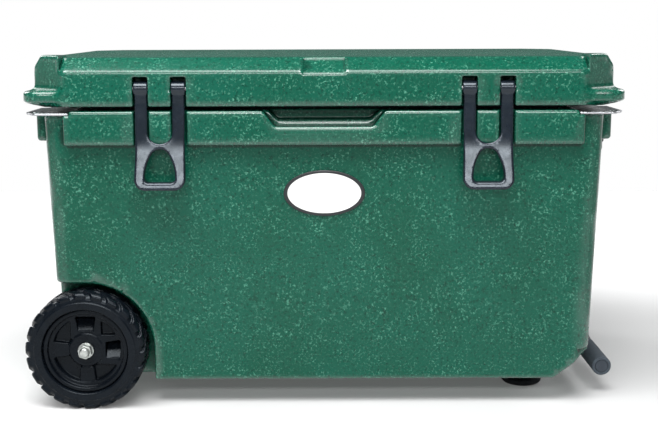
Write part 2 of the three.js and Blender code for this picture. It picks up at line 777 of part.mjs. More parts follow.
function addRunningGear() {
  add("axle", cylinderY(AXLE.r, WHEEL.x, WHEEL.r, -AXLE.halfLength, AXLE.halfLength, 20), zinc);
  const middle = WHEEL.outerY - WHEEL.width / 2;
  for (const [label, side] of [["front", -1], ["rear", 1]]) {
    const wheel = new THREE.Group();
    wheel.position.set(WHEEL.x, side * middle, WHEEL.r);
    if (side > 0) wheel.rotation.z = Math.PI;
    cooler.add(wheel);
    wheel.add(add("tyre_" + label, tyre(), rubber));
    wheel.add(add("wheel_rim_" + label, wheelRim(), blackPlastic));
    wheel.add(add("wheel_bush_" + label, wheelBush(), badgeWhite));
    const atHub = (offset) => (mesh) => mesh.position.set(WHEEL.x, side * (AXLE.hubFaceY + offset), WHEEL.r);
    add("axle_washer_" + label, axleWasher(), zinc, atHub(1 + GAP));
    add("axle_nut_" + label, hexNut(), zinc, atHub(2 + 2 * GAP + 4));
  }
}

function addFeet() {
  for (const [label, side] of [["front", -1], ["rear", 1]]) {
    add("foot_" + label, footPad(side * FOOT.y), rubber);
    add("foot_screw_" + label, screw(2.5, 20, 6, 2.6), zinc, (mesh) => {
      mesh.position.set(FOOT.x, side * FOOT.y, 5 - GAP);
      mesh.rotation.x = Math.PI;
    });
  }
}

function addTowHandle() {
  const { pivotX, pivotZ, barX, barZ, barR, armY } = TOW;
  const rodEnd = TOW_BRACKET.outer - 4.5;
  const barEnd = GRIP.to - 3;
  add("tow_pivot_rod", cylinderY(5, pivotX, pivotZ, -rodEnd, rodEnd, 20), blackSteel);
  add("tow_crossbar", tubeY(barR, 6.7, barX, barZ, -barEnd, barEnd), blackSteel);
  for (const [label, side] of [["front", -1], ["rear", 1]]) {
    add("tow_bracket_" + label, towBracket(side), blackPlastic);
    [BRACKET_SCREWS.inner, BRACKET_SCREWS.outer].forEach((y, i) => {
      add("tow_bracket_screw_" + label + "_" + (i + 1), screw(2, 34, 3.6, 2), blackSteel, (mesh) => {
        mesh.position.set(TOW_BRACKET.faceX + GAP, side * y, BRACKET_SCREWS.z);
        mesh.rotation.y = Math.PI / 2;
      });
    });
    add("tow_arm_" + label, towArm(side * armY), blackSteel);
    const [y0, y1] = side < 0 ? [-GRIP.to, -GRIP.from] : [GRIP.from, GRIP.to];
    add("tow_grip_" + label, tubeY(GRIP.r, barR + GAP, barX, barZ, y0, y1, 24), gripFoam);
    add("tow_end_plug_" + label, towEndPlug(side), blackPlastic);
  }
}

addBody();
addLid();
addSided();
addRunningGear();
addFeet();
addTowHandle();

export default assembly;
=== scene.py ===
import math

import bmesh
import bpy
import numpy as np
import openvdb
from mathutils import Matrix, Vector


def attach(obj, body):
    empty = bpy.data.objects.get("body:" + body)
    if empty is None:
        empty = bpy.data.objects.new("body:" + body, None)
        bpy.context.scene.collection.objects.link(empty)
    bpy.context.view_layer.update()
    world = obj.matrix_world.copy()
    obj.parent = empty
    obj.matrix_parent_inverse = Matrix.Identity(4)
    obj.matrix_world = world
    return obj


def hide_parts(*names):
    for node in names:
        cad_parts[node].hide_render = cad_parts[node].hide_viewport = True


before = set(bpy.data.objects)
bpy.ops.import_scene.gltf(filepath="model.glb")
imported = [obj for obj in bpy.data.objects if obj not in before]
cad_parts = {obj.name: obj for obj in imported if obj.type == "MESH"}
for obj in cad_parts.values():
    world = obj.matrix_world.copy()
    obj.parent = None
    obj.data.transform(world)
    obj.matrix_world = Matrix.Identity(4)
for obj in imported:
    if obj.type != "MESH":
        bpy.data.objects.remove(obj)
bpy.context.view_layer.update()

MM = 0.001
SHIFT = Vector((0.0, 0.001, 0.0))  # the CAD sets the cooler back by 1 mm to centre it
F = np.float32
COARSE = 1.0

# Sizes below are millimetres in the cooler's own frame, the same numbers as the CAD.
# A pivot that runs along x is given as (y, z), and one that runs along y as (x, z).
RIM_TOP, RIM_LOW = 375.5, 333.8
LID_LOW, LID_EDGE, LID_TOP = 380.8, 422.4, 439.5
LATCH_X, LATCH_PIVOT, LATCH_BORE = 198.0, (-197.5, 402.0), 3.2
ARM_X, ARM_SLOT = 22.9, 9.3  # a latch arm's offset from the latch's middle, its slot's half width
HUB, WHEEL_Y, ARCH = (-300.3, 75.0), 182.0, 84.0
HINGE, HINGE_X, HINGE_BORE = (214.0, 378.15), 190.0, 4.4
TOW_PIVOT, TOW_BAR, TOW_ARM_Y = (353.3, 321.5), (361.3, 37.0), 48.0
TOW_BORE, GRIP_BORE = 5.3, 8.4
FOOT = (266.0, 96.0)  # x and y
LOCK_HOLE = (354.0, -184.0)  # x and y of the padlock's hole through lid and plate
DRAIN_Z = 104.0
FAR = 50.0  # the distance that empty clay starts with
BEVEL_STEPS = 3
WELD = 1e-6  # metres


# ---------------------------------------------------------------- distance shapes
def smooth_min(a, b, k):
    if k <= 0:
        return np.minimum(a, b)
    h = np.maximum(k - np.abs(a - b), 0) / k
    return np.minimum(a, b) - h * h * (k / 4)


def smooth_max(a, b, k):
    return -smooth_min(-a, -b, k)


def slab(v, low, high):
    return np.abs(v - (low + high) / 2) - (high - low) / 2


def rounded(r, *faces):
    """The solid inside all the given slabs or tubes, with its edges rounded to radius r."""
    grown = [f + r for f in faces]
    outside = sum(np.maximum(f, 0) ** 2 for f in grown)
    inside = grown[0]
    for f in grown[1:]:
        inside = np.maximum(inside, f)
    return np.sqrt(outside) + np.minimum(inside, 0) - r


def block(x0, x1, y0, y1, z0, z1, r=0.0):
    return lambda x, y, z: rounded(r, slab(x, x0, x1), slab(y, y0, y1), slab(z, z0, z1))


def tube_x(radius, y0, z0, x0, x1, r=0.0):
    return lambda x, y, z: rounded(r, np.hypot(y - y0, z - z0) - radius, slab(x, x0, x1))


def tube_y(radius, x0, z0, y0, y1, r=0.0):
    return lambda x, y, z: rounded(r, np.hypot(x - x0, z - z0) - radius, slab(y, y0, y1))


def tube_z(radius, x0, y0, z0, z1, r=0.0):
    return lambda x, y, z: rounded(r, np.hypot(x - x0, y - y0) - radius, slab(z, z0, z1))


def convex(u, v, points, k=0.0):
    """Distance to a convex outline given anticlockwise, its corners softened over k."""
    worst = None
    for (a, b), (c, e) in zip(points, points[1:] + points[:1]):
        run = math.hypot(c - a, e - b)
        side = (u - a) * ((e - b) / run) - (v - b) * ((c - a) / run)
        worst = side if worst is None else smooth_max(worst, side, k)
    return worst


class Clay:
    """A block of space that holds the distance to a solid's skin, in mm, on a regular grid."""

    def __init__(self, low, high, step):
        self.step = step * COARSE
        self.axes = [np.arange(a, b + self.step, self.step, dtype=F) for a, b in zip(low, high)]
        self.low = np.array(low, dtype=float)
        self.d = np.full([len(a) for a in self.axes], FAR, dtype=F)

    def _part(self, region, k):
        margin = k + 4 * self.step
        cuts, parts = [], []
        for i, axis in enumerate(self.axes):
            low, high = (region[2 * i], region[2 * i + 1]) if region else (axis[0], axis[-1])
            a = int(np.searchsorted(axis, low - margin))
            b = int(np.searchsorted(axis, high + margin, side="right"))
            cuts.append(slice(a, b))
            shape = [1, 1, 1]
            shape[i] = b - a
            parts.append(axis[a:b].reshape(shape))
        return tuple(cuts), parts

    def add(self, shape, region=None, k=0.0):
        cuts, (x, y, z) = self._part(region, k)
        self.d[cuts] = smooth_min(self.d[cuts], np.asarray(shape(x, y, z), dtype=F), k)

    def cut(self, shape, region=None, k=0.0):
        cuts, (x, y, z) = self._part(region, k)
        self.d[cuts] = smooth_max(self.d[cuts], -np.asarray(shape(x, y, z), dtype=F), k)

    def skin(self, name, material, adaptivity=0.0):
        band = 3 * self.step
        grid = openvdb.FloatGrid(band)
        grid.copyFromArray(np.clip(self.d, -band, band))
        points, tris, quads = grid.convertToPolygons(0.0, adaptivity)
        points = points * self.step + self.low
        return mesh_object(name, points, tris, quads, material)


def mesh_object(name, points, tris, quads, material):
    """An object from points in mm, with its faces turned outwards and shaded smooth."""
    points = np.asarray(points, dtype=float) * MM + np.array(SHIFT)
    mesh = bpy.data.meshes.new(name)
    sizes = [3] * len(tris) + [4] * len(quads)
    corners = np.concatenate([np.asarray(tris).ravel(), np.asarray(quads).ravel()]).astype(np.int32)
    mesh.vertices.add(len(points))
    mesh.vertices.foreach_set("co", points.astype(F).ravel())
    mesh.loops.add(len(corners))
    mesh.loops.foreach_set("vertex_index", corners)
    mesh.polygons.add(len(sizes))
    starts = np.concatenate([[0], np.cumsum(sizes)[:-1]]).astype(np.int32)
    mesh.polygons.foreach_set("loop_start", starts)
    mesh.update(calc_edges=True)
    mesh.validate()
    if signed_volume(mesh) < 0:
        mesh.flip_normals()
    mesh.shade_smooth()
    mesh.materials.append(material)
    made = bpy.data.objects.new(name, mesh)
    bpy.context.scene.collection.objects.link(made)
    return made


def signed_volume(mesh):
    mesh.calc_loop_triangles()
    tris = np.zeros(len(mesh.loop_triangles) * 3, dtype=np.int32)
    mesh.loop_triangles.foreach_get("vertices", tris)
    co = np.zeros(len(mesh.vertices) * 3, dtype=F)
    mesh.vertices.foreach_get("co", co)
    a, b, c = co.reshape(-1, 3)[tris.reshape(-1, 3)].transpose(1, 0, 2).astype(float)
    return float(np.einsum("ij,ij->i", a, np.cross(b, c)).sum())


def turned(name, profile, centre, axis, material, steps):
    """A lathed piece: profile is closed (radius, along) points with a softening radius each."""
    outline = soften(profile)
    count = len(outline)
    points, quads = [], []
    for i in range(steps):
        angle = 2 * math.pi * i / steps
        for radius, along in outline:
            a, b = radius * math.cos(angle), radius * math.sin(angle)
            local = {"x": (along, a, b), "y": (b, along, a), "z": (a, b, along)}[axis]
            points.append([centre[j] + local[j] for j in range(3)])
    for i in range(steps):
        for j in range(count):
            k, n = (j + 1) % count, (i + 1) % steps
            quads.append((i * count + j, n * count + j, n * count + k, i * count + k))
    made = mesh_object(name, points, np.zeros((0, 3)), quads, material)
    weld(made)
    return made


def soften(profile):
    """Replaces each corner (u, v, r) of a closed outline by an arc-like curve of reach r."""
    outline = []
    count = len(profile)
    for i, (u, v, r) in enumerate(profile):
        here = np.array((u, v), dtype=float)
        before = np.array(profile[i - 1][:2], dtype=float) - here
        after = np.array(profile[(i + 1) % count][:2], dtype=float) - here
        lengths = np.linalg.norm(before), np.linalg.norm(after)
        reach = min(r, 0.48 * lengths[0], 0.48 * lengths[1])
        if reach <= 0:
            outline.append(tuple(here))
            continue
        start, end = here + before / lengths[0] * reach, here + after / lengths[1] * reach
        for s in range(BEVEL_STEPS + 1):
            t = s / BEVEL_STEPS
            outline.append(tuple((1 - t) ** 2 * start + 2 * t * (1 - t) * here + t * t * end))
    return outline


def weld(made):
    bm = bmesh.new()
    bm.from_mesh(made.data)
    bmesh.ops.remove_doubles(bm, verts=bm.verts, dist=WELD)
    bmesh.ops.recalc_face_normals(bm, faces=bm.faces)
    bm.to_mesh(made.data)
    bm.free()
    made.data.shade_smooth()
    made.data.set_sharp_from_angle(angle=math.radians(50))


def place(made, body, slot, node):
    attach(made, body)
    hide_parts(node)


def mirror(made, x=1, y=1):
    """Turns a piece into its twin across the cooler's own middle."""
    about = Matrix.Translation(SHIFT) @ Matrix.Diagonal((x, y, 1, 1)) @ Matrix.Translation(-SHIFT)
    made.data.transform(about)
    made.data.flip_normals()


# ---------------------------------------------------------------- materials
def srgb(r, g, b):
    def linear(c):
        c /= 255
        return c / 12.92 if c <= 0.04045 else ((c + 0.055) / 1.055) ** 2.4

    return (linear(r), linear(g), linear(b), 1.0)


class Looks:
    """A material's node tree, with short calls for the nodes that its surface needs."""

    def __init__(self, name):
        self.material = bpy.data.materials.new(name)
        self.material.use_nodes = True
        self.nodes = self.material.node_tree.nodes
        self.links = self.material.node_tree.links
        self.shader = self.nodes["Principled BSDF"]
        coords = self.nodes.new("ShaderNodeTexCoord")
        self.place = coords.outputs["Object"]
        self.across = coords.outputs["Generated"]

    def link(self, source, target):
        self.links.new(source, target)

    def noise(self, scale, detail=2.0, rough=0.5, stretch=None):
        node = self.nodes.new("ShaderNodeTexNoise")
        node.inputs["Scale"].default_value = scale
        node.inputs["Detail"].default_value = detail
        node.inputs["Roughness"].default_value = rough
        source = self.place
        if stretch:
            mapping = self.nodes.new("ShaderNodeMapping")
            mapping.inputs["Scale"].default_value = stretch
            self.link(source, mapping.inputs["Vector"])
            source = mapping.outputs["Vector"]
        self.link(source, node.inputs["Vector"])
        return node.outputs["Fac"]

    def cells(self, scale):
        node = self.nodes.new("ShaderNodeTexVoronoi")
        node.inputs["Scale"].default_value = scale
        self.link(self.place, node.inputs["Vector"])
        return node.outputs["Distance"]

    def ramp(self, fac, *stops):
        """stops are (position, value); a value is one number or a colour."""
        node = self.nodes.new("ShaderNodeValToRGB")
        ramp = node.color_ramp
        while len(ramp.elements) < len(stops):
            ramp.elements.new(1.0)
        for element, (position, value) in zip(ramp.elements, stops):
            element.position = position
            element.color = value if isinstance(value, tuple) else (value, value, value, 1.0)
        self.link(fac, node.inputs["Fac"])
        return node.outputs["Color"]

    def mix(self, fac, a, b):
        node = self.nodes.new("ShaderNodeMix")
        node.data_type = "RGBA"
        for value, socket in ((fac, node.inputs[0]), (a, node.inputs[6]), (b, node.inputs[7])):
            if hasattr(value, "is_output"):
                self.link(value, socket)
            else:
                socket.default_value = value
        return node.outputs[2]

    def bump(self, height, strength, distance, onto=None):
        node = self.nodes.new("ShaderNodeBump")
        node.inputs["Strength"].default_value = strength
        node.inputs["Distance"].default_value = distance
        self.link(height, node.inputs["Height"])
        if onto is not None:
            self.link(onto, node.inputs["Normal"])
        self.link(node.outputs["Normal"], self.shader.inputs["Normal"])
        return node.outputs["Normal"]

    def colour(self, source):
        self.link(source, self.shader.inputs["Base Color"])

    def roughness(self, source):
        self.link(source, self.shader.inputs["Roughness"])

    def set(self, **values):
        for name, value in values.items():
            self.shader.inputs[name.replace("_", " ")].default_value = value
        return self


# Pointiness is 0.5 on a flat face, less in a crease and more on an outer bend.
CREASE_SHADE, BEND = (0.47, 0.493), (0.506, 0.518)


def speckled_green():
    """Flecked plastic: creases carry painted shade, darker at every angle alike, and the tight
    outer bends carry a glossy coat.
    """
    look = Looks("speckled_green")
    cloud = look.ramp(look.noise(9, 3), (0.35, 0.0), (0.65, 1.0))
    base = look.mix(cloud, srgb(6, 75, 57), srgb(10, 81, 64))
    fine = look.noise(330, 3, 0.65)
    pale = look.ramp(fine, (0.54, 0.0), (0.70, 1.0))
    dark = look.ramp(look.noise(260, 2, 0.6), (0.30, 1.0), (0.47, 0.0))
    shade = look.mix(dark, base, srgb(5, 59, 45))
    patch = look.ramp(look.noise(38, 2), (0.42, 0.25), (0.62, 1.0))
    flecked = look.mix(pale, shade, srgb(78, 142, 120))
    skin = look.mix(patch, shade, flecked)
    bend = look.nodes.new("ShaderNodeNewGeometry").outputs["Pointiness"]
    # painted shade: concave creases are darkened in the base colour, not by the lamps
    painted_crease_shade = look.ramp(bend, (CREASE_SHADE[0], 0.8), (CREASE_SHADE[1], 0.0))
    look.colour(look.mix(painted_crease_shade, skin, srgb(3, 34, 26)))
    coat = look.ramp(bend, (BEND[0], 0.0), (BEND[1], 1.0))
    look.link(coat, look.shader.inputs["Coat Weight"])
    look.roughness(look.ramp(look.noise(120, 2), (0.3, 0.20), (0.7, 0.28)))
    under = look.bump(look.noise(55, 2), 0.12, 0.0006)
    look.bump(look.noise(520, 2), 0.22, 0.00025, under)
    return look.set(Specular_IOR_Level=0.26, Coat_Roughness=0.16, Coat_IOR=1.6).material


def moulded(name, dark, light, rough, grain, depth, gloss=0.3):
    """Plain plastic, rubber or paint with a fine grain, its depth in metres."""
    look = Looks(name)
    look.colour(look.mix(look.ramp(look.noise(70, 3), (0.3, 0.0), (0.7, 1.0)), dark, light))
    look.roughness(look.ramp(look.noise(150, 2), (0.3, rough[0]), (0.7, rough[1])))
    look.bump(look.noise(grain, 2), 0.25, depth)
    return look.set(Specular_IOR_Level=gloss, Specular_Tint=(0.84, 0.93, 1.0, 1.0)).material


def brushed(name, dark, light, stretch, rough=(0.22, 0.38), scale=60):
    """Bare metal with streaks that run along the axis that stretch makes smallest."""
    look = Looks(name)
    streaks = look.noise(scale, 3, 0.6, stretch)
    look.colour(look.mix(look.ramp(streaks, (0.3, 0.0), (0.7, 1.0)), dark, light))
    look.roughness(look.ramp(look.noise(90, 2), (0.3, rough[0]), (0.7, rough[1])))
    look.bump(streaks, 0.15, 0.00005)
    return look.set(Metallic=1.0).material


def foam_sleeve():
    look = Looks("grip_foam")
    pores = look.cells(1500)
    skin = look.ramp(pores, (0.1, 0.0), (0.6, 1.0))
    look.colour(look.mix(skin, srgb(36, 43, 50), srgb(66, 75, 84)))
    look.roughness(look.ramp(look.noise(60, 2), (0.3, 0.8), (0.7, 0.92)))
    look.bump(pores, 0.35, 0.0002)
    return look.material


def insulation():
    look = Looks("insulation_foam")
    pores = look.cells(700)
    skin = look.ramp(pores, (0.1, 0.0), (0.6, 1.0))
    look.colour(look.mix(skin, srgb(205, 189, 140), srgb(236, 224, 180)))
    look.roughness(look.ramp(pores, (0.0, 0.85), (1.0, 0.95)))
    look.bump(pores, 0.4, 0.0004)
    return look.material


def grey(value):
    return (value, value, value, 1)


def floor_material():
    """Pale grey, with painted light: nearly white behind the cooler where the lamps leave it dim,
    so that the floor's far edge is lost, and a faint glow all over.
    """
    look = Looks("studio_floor")
    near = look.mix(look.ramp(look.noise(2, 2), (0.3, 0.0), (0.7, 1.0)), grey(0.52), grey(0.54))
    split = look.nodes.new("ShaderNodeSeparateXYZ")
    look.link(look.across, split.inputs[0])
    behind = look.ramp(split.outputs["Y"], (0.845, 0.0), (0.90, 1.0))
    # painted light: the floor behind the cooler is painted nearly white where the lamps leave it
    # dim
    look.colour(look.mix(behind, near, grey(0.95)))
    look.roughness(look.ramp(look.noise(4, 2), (0.3, 0.85), (0.7, 0.95)))
    # painted light: the floor glows faintly though it is no lamp
    return look.set(Emission_Color=(1, 1, 1, 1), Emission_Strength=0.1).material


GREEN = speckled_green()
RUBBER_LATCH = moulded(
    "latch_rubber", srgb(17, 24, 31), srgb(24, 31, 40), (0.17, 0.23), 700, 0.00005, gloss=0.5
)
TYRE = moulded(
    "tyre_rubber", srgb(8, 12, 17), srgb(13, 18, 24), (0.22, 0.32), 600, 0.0001, gloss=0.17
)
RIM_PLASTIC = moulded(
    "rim_plastic", srgb(7, 10, 15), srgb(11, 15, 20), (0.2, 0.3), 800, 0.0001, gloss=0.15
)
BLACK_PLASTIC = moulded(
    "black_plastic", srgb(20, 22, 25), srgb(29, 32, 36), (0.38, 0.54), 900, 0.00012
)
PLUG_PLASTIC = moulded("plug_plastic", srgb(48, 53, 60), srgb(62, 68, 76), (0.4, 0.55), 900, 0.0001)
PAD_RUBBER = moulded("pad_rubber", srgb(14, 15, 17), srgb(22, 24, 27), (0.6, 0.8), 500, 0.0002)
SEAL = moulded("seal_rubber", srgb(62, 66, 69), srgb(78, 82, 85), (0.65, 0.85), 700, 0.0002)
NYLON = moulded("nylon", srgb(215, 212, 200), srgb(232, 229, 218), (0.4, 0.55), 600, 0.0001)
POWDER = moulded(
    "black_powder_coat", srgb(26, 28, 31), srgb(36, 39, 42), (0.42, 0.58), 1500, 0.0001
)
STAINLESS = brushed("stainless", srgb(178, 180, 184), srgb(214, 216, 219), (0.15, 1, 1))
ZINC = brushed("zinc", srgb(165, 170, 168), srgb(205, 208, 204), (1, 1, 1), (0.3, 0.5), 220)
GRIP = foam_sleeve()
INSULATION = insulation()


# ---------------------------------------------------------------- body
BODY_X, BODY_Y, BODY_LOW, DRAFT, CORNER = 344.0, 193.0, 32.0, 0.023, 18.0
LINER_Y, LINER_DRAFT, LINER_CORNER = 150.0, 0.02, 24.0
SUMP, STEP_TOP = 88.0, 178.0  # the ice space's floor, and its higher floor over the wheels
BODY_WEB = [(190, 348), (204, 348), (222.7, 374), (214, 379), (190, 375.3)]  # (y, z)


def body_block(x, y, z):
    inset = DRAFT * (RIM_TOP - z)
    plan = rounded(CORNER, np.abs(x) - BODY_X + inset, np.abs(y) - BODY_Y + inset)
    return rounded(4.0, plan, slab(z, BODY_LOW, RIM_TOP + 20))


def liner(x0, x1, z0):
    def shape(x, y, z):
        inset = LINER_DRAFT * (RIM_TOP + 2 - z)
        plan = rounded(LINER_CORNER, slab(x, x0, x1) + inset, np.abs(y) - LINER_Y + inset)
        return rounded(12.0, plan, slab(z, z0, RIM_TOP + 60))

    return shape


def wheel_pocket(side):
    """The room for a wheel, open outwards, to the end and to the ground."""
    back = 155.0

    def shape(x, y, z):
        round_part = np.hypot(x - HUB[0], z - HUB[1]) - ARCH
        open_end = rounded(0, slab(x, -450, HUB[0]), slab(z, -20, HUB[1] + ARCH))
        open_base = rounded(0, slab(x, HUB[0] - ARCH, HUB[0] + ARCH), slab(z, -20, HUB[1]))
        outline = np.minimum(np.minimum(round_part, open_end), open_base)
        return np.maximum(outline, back - side * y)

    return shape


def recess(top_half, low_half, low, y_back, soft):
    """A hand hold cut in from the front, wider at its top than at its foot."""
    slope = (top_half - low_half) / (RIM_TOP - low)
    high = RIM_TOP + 30
    far = low_half + slope * (high - low)
    points = [(-low_half, low), (low_half, low), (far, high), (-far, high)]
    return lambda x, y, z: rounded(0, convex(x, z, points, soft), slab(y, -240, y_back))


def corner_slope(x, y, z):
    """What is taken off the body's foot at the end away from the wheels."""
    return convex(x, z, [(291, 20), (420, 20), (420, 69), (332, 64), (291, 32)], 3)


def corner_pocket(side):
    """The notch at the foot of a corner, with a slanting inner wall."""
    wall_x, wall_y, back, top = 318, 186, 169, 71

    def shape(x, y, z):
        plan = np.maximum(wall_x - x, 0.72 * (wall_y - side * y) + 0.69 * (wall_x - x))
        return np.maximum(np.maximum(plan, back - side * y), slab(z, -20, top))

    return shape


def plate_outline(x, y, side):
    points = [(308, -203), (352, -203), (366, -180), (366, -62), (308, -62)]
    return convex(side * x, y, points, 3)


def plate_seat(side):
    """The shallow step in the rim's top that a lock plate lies in, 1 mm larger all round."""
    return lambda x, y, z: rounded(0, plate_outline(x, y, side) - 1.0, slab(z, 370.0, 420))


def arm_slots(clay, centre, back, low, high, soft, region):
    """Two slots, open to the front, for the arms of the latch at x = centre."""
    for side in (-1, 1):
        middle = centre + side * ARM_X
        slot = block(middle - ARM_SLOT, middle + ARM_SLOT, -260, back, low, high, soft)
        clay.cut(slot, (middle - 10, middle + 10, *region), 1.2)


def knuckle(clay, a, b, outline, region):
    """A hinge knuckle from x = a to b, on a web with the given (y, z) outline."""
    clay.add(tube_x(9.0, *HINGE, a, b, 1.5), (a, b, 200, 226, 366, 390), 1.5)
    web = lambda x, y, z: rounded(1.0, convex(y, z, outline, 2), slab(x, a, b))
    clay.add(web, (a, b, 188, 226, *region), 3.0)


def hinge_bore(clay, centre):
    bore = tube_x(HINGE_BORE, *HINGE, centre - 60, centre + 60)
    clay.cut(bore, (centre - 56, centre + 56, 206, 222, 370, 388), 0.6)


def body_shell():
    clay = Clay((-364, -214, 4), (364, 232, 394), 1.5)
    clay.add(body_block)
    clay.cut(lambda x, y, z: RIM_TOP - z, k=2.5)
    long_rim = block(-315.5, 315.5, -205, 205, RIM_LOW, RIM_TOP, 3.0)
    clay.add(long_rim, (-318, 318, -206, 206, 330, 378), 1.5)
    end_rim = block(-357, 357, -167, 167, RIM_LOW + 2, RIM_TOP, 4.5)
    clay.add(end_rim, (-358, 358, -168, 168, 330, 378), 3.0)
    for centre in (-LATCH_X, LATCH_X):
        high = RIM_TOP + 30
        arm_slots(clay, centre, -193.5, RIM_LOW - 3, high, 1.5, (-208, -192, 325, 380))
    for side in (-1, 1):
        foot_y = side * FOOT[1]
        clay.cut(wheel_pocket(side), (-364, -210, *sorted((side * 150, side * 214)), 4, 164), 3.0)
        clay.cut(corner_pocket(side), (314, 350, *sorted((side * 150, side * 200)), 20, 74), 2.0)
        clay.add(foot_boss(foot_y), (225, 305, foot_y - 38, foot_y + 38, 6, 44), 3.0)
        clay.cut(plate_seat(side), (*sorted((side * 303, side * 364)), -206, -58, 366, 380), 1.5)
    clay.cut(corner_slope, (284, 350, -200, 200, 20, 72), 3.0)
    front = (-84, 84, -208, -170, 350, 380)
    clay.cut(recess(74.3, 60, 356, -191, 3), front, 2.4)
    clay.cut(recess(69, 57, 363.5, -174, 3), front, 2.2)
    clay.cut(liner(-196, 292, SUMP), None, 4.0)
    clay.cut(liner(-292, 200, STEP_TOP), None, 4.0)
    for side in (-1, 1):
        middle, foot_y = side * HINGE_X, side * FOOT[1]
        for near, far in ((30, 50), (-50, -30)):
            knuckle(clay, middle + near, middle + far, BODY_WEB, (340, 382))
        hinge_bore(clay, middle)
        screw = tube_z(2.8, FOOT[0], foot_y, 0, 55)
        clay.cut(screw, (258, 272, foot_y - 6, foot_y + 6, 4, 56))
    clay.cut(tube_x(11.0, 0, DRAIN_Z, -360, -270), (-350, -260, -13, 13, 90, 118), 1.5)
    clay.cut(tube_y(7.0, *HUB, -170, 170), (-310, -290, -160, 160, 66, 84), 1.0)
    clay.cut(tube_z(18.0, 60, 0, 20, 41), (40, 80, -20, 20, 30, 42), 1.0)
    made = clay.skin("body_moulding", GREEN, 0.03)
    place(made, "box", "shell", "body_shell")


def foot_boss(y0):
    def shape(x, y, z):
        radius = 24 + 6 * (z - 10) / 30
        return rounded(1.5, np.hypot(x - FOOT[0], y - y0) - radius, slab(z, 10, 40))

    return shape


# ---------------------------------------------------------------- lid
LID_X, LID_Y = 358.0, 205.0  # half length and half depth at the upright faces
FRONT_SLOPE = (0.650, 0.760)  # unit normals of the sloped edge, outwards and up
LID_WEB = [(190, 381.5), (214, 378), (222.7, 382), (204, 408), (190, 408)]  # (y, z)


def sloped(face, z, slope, edge):
    """The face that leans in from an upright face above z = edge."""
    return slope[0] * face + slope[1] * (z - edge)


def cut_corner(ax, ay):
    """The flat that takes the lid's corners off in plan."""
    return 0.6905 * ax + 0.7234 * ay - 365.1


def lid_block(x, y, z):
    ax, ay = np.abs(x), np.abs(y)
    front = smooth_max(ay - LID_Y, sloped(ay - LID_Y, z, FRONT_SLOPE, LID_EDGE), 3.0)
    end = smooth_max(ax - LID_X, sloped(ax - LID_X, z, (0.744, 0.667), 425.0), 3)
    diagonal = cut_corner(ax, ay)
    corner = smooth_max(diagonal, sloped(diagonal, z, (0.700, 0.714), LID_EDGE), 3)
    sides = smooth_max(smooth_max(front, end, 4), corner, 2.5)
    return smooth_max(smooth_max(sides, z - LID_TOP, 2.5), LID_LOW - z, 2.2)


def corner_post(x, y, z):
    """The lid's front corners stay upright up to their own top, just above the sloped edge."""
    ax, ay = np.abs(x), -y
    end = smooth_max(ax - LID_X, sloped(ax - LID_X, z, (0.781, 0.625), 427), 2)
    outer = smooth_max(smooth_max(cut_corner(ax, ay), ay - LID_Y, 2.5), end, 4)
    inner = smooth_max(318 - ax, 158 - ay, 3)
    return smooth_max(smooth_max(outer, inner, 2), slab(z, 400, 442), 2.5)


def lid_flange(x, y, z):
    plan = rounded(22.0, np.abs(x) - 367.3, np.abs(y) - 204.6)
    low = np.maximum(0.42 * (plan + 13) + 0.907 * (LID_LOW - z), plan)
    return rounded(5.0, smooth_max(plan, low, 4), slab(z, LID_LOW, 399.5))


def lid_plug(x, y, z):
    """The part of the lid that sits down into the ice space, narrowing as it goes."""
    inset = 0.1 * (383 - z)
    plan = rounded(22, np.abs(x) - 284 + inset, np.abs(y) - 142 + inset)
    return rounded(3.0, plan, slab(z, 372, 392))


def front_pad(x, y, z):
    """A shallow flat let into the middle of the sloped front edge."""
    depth = np.abs(sloped(-y - LID_Y, z, FRONT_SLOPE, LID_EDGE)) - 2.1
    return rounded(2.0, depth, slab(x, -26, 26), slab(z, 416, 437.5))


def lid_shell():
    clay = Clay((-374, -212, 364), (374, 232, 447), 1.25)
    clay.add(lid_block)
    clay.add(corner_post, (-360, 360, -206, -150, 398, 444), 0.6)
    clay.add(lid_flange, None, 7.0)
    clay.add(lid_plug, (-290, 290, -148, 148, 368, 386), 3.0)
    clay.cut(front_pad, (-30, 30, -208, -184, 414, 442), 2.6)
    for centre in (-LATCH_X, LATCH_X):
        arm_slots(clay, centre, -186, 340, 416.4, 2.0, (-208, -184, 374, 418))
        bore = tube_x(LATCH_BORE, *LATCH_PIVOT, centre - 42, centre + 42)
        clay.cut(bore, (centre - 42, centre + 42, -202, -192, 397, 407))
    for side in (-1, 1):
        middle = side * HINGE_X
        knuckle(clay, middle - 29.5, middle + 29.5, LID_WEB, (374, 412))
        hinge_bore(clay, middle)
        lock = tube_z(4.5, side * LOCK_HOLE[0], LOCK_HOLE[1], 370, 410)
        clay.cut(lock, (*sorted((side * 346, side * 362)), -192, -176, 376, 404), 1.0)
    clay.cut(tube_z(18.0, 0, 0, 360, 388), (-20, 20, -20, 20, 366, 390), 1.0)
    made = clay.skin("lid_moulding", GREEN, 0.02)
    place(made, "lid", "shell", "lid_shell")


# ---------------------------------------------------------------- latches
def latch_front_y(z):
    """Nearly upright arms that turn out into a straight, sloping finger pull."""
    turn_top, turn_run = 352, 32
    turn = np.clip((turn_top - z) / turn_run, 0, 1)
    pull = turn_run * (turn**3 - turn**4 / 2) + np.clip(turn_top - turn_run - z, 0, 60)
    return -204.6 - (0.105 * np.clip(385 - z, 0, 110) + 0.191 * pull)


def latch_back_y(z):
    """The back follows the lid's slot down to the rim, then the outside of the rim."""
    bend, rim, flare = 385, 347, 308
    arm = -197.0 + (402 - z) * -0.0941
    arm = np.maximum(arm - (z < bend) * (bend - z) * 0.09, -206)
    pull = -205.6 - np.maximum(rim - z, 0) * 0.026
    tip = -206.6 - np.maximum(flare - z, 0) * 0.17
    return np.where(z > rim, arm, np.minimum(pull, tip))


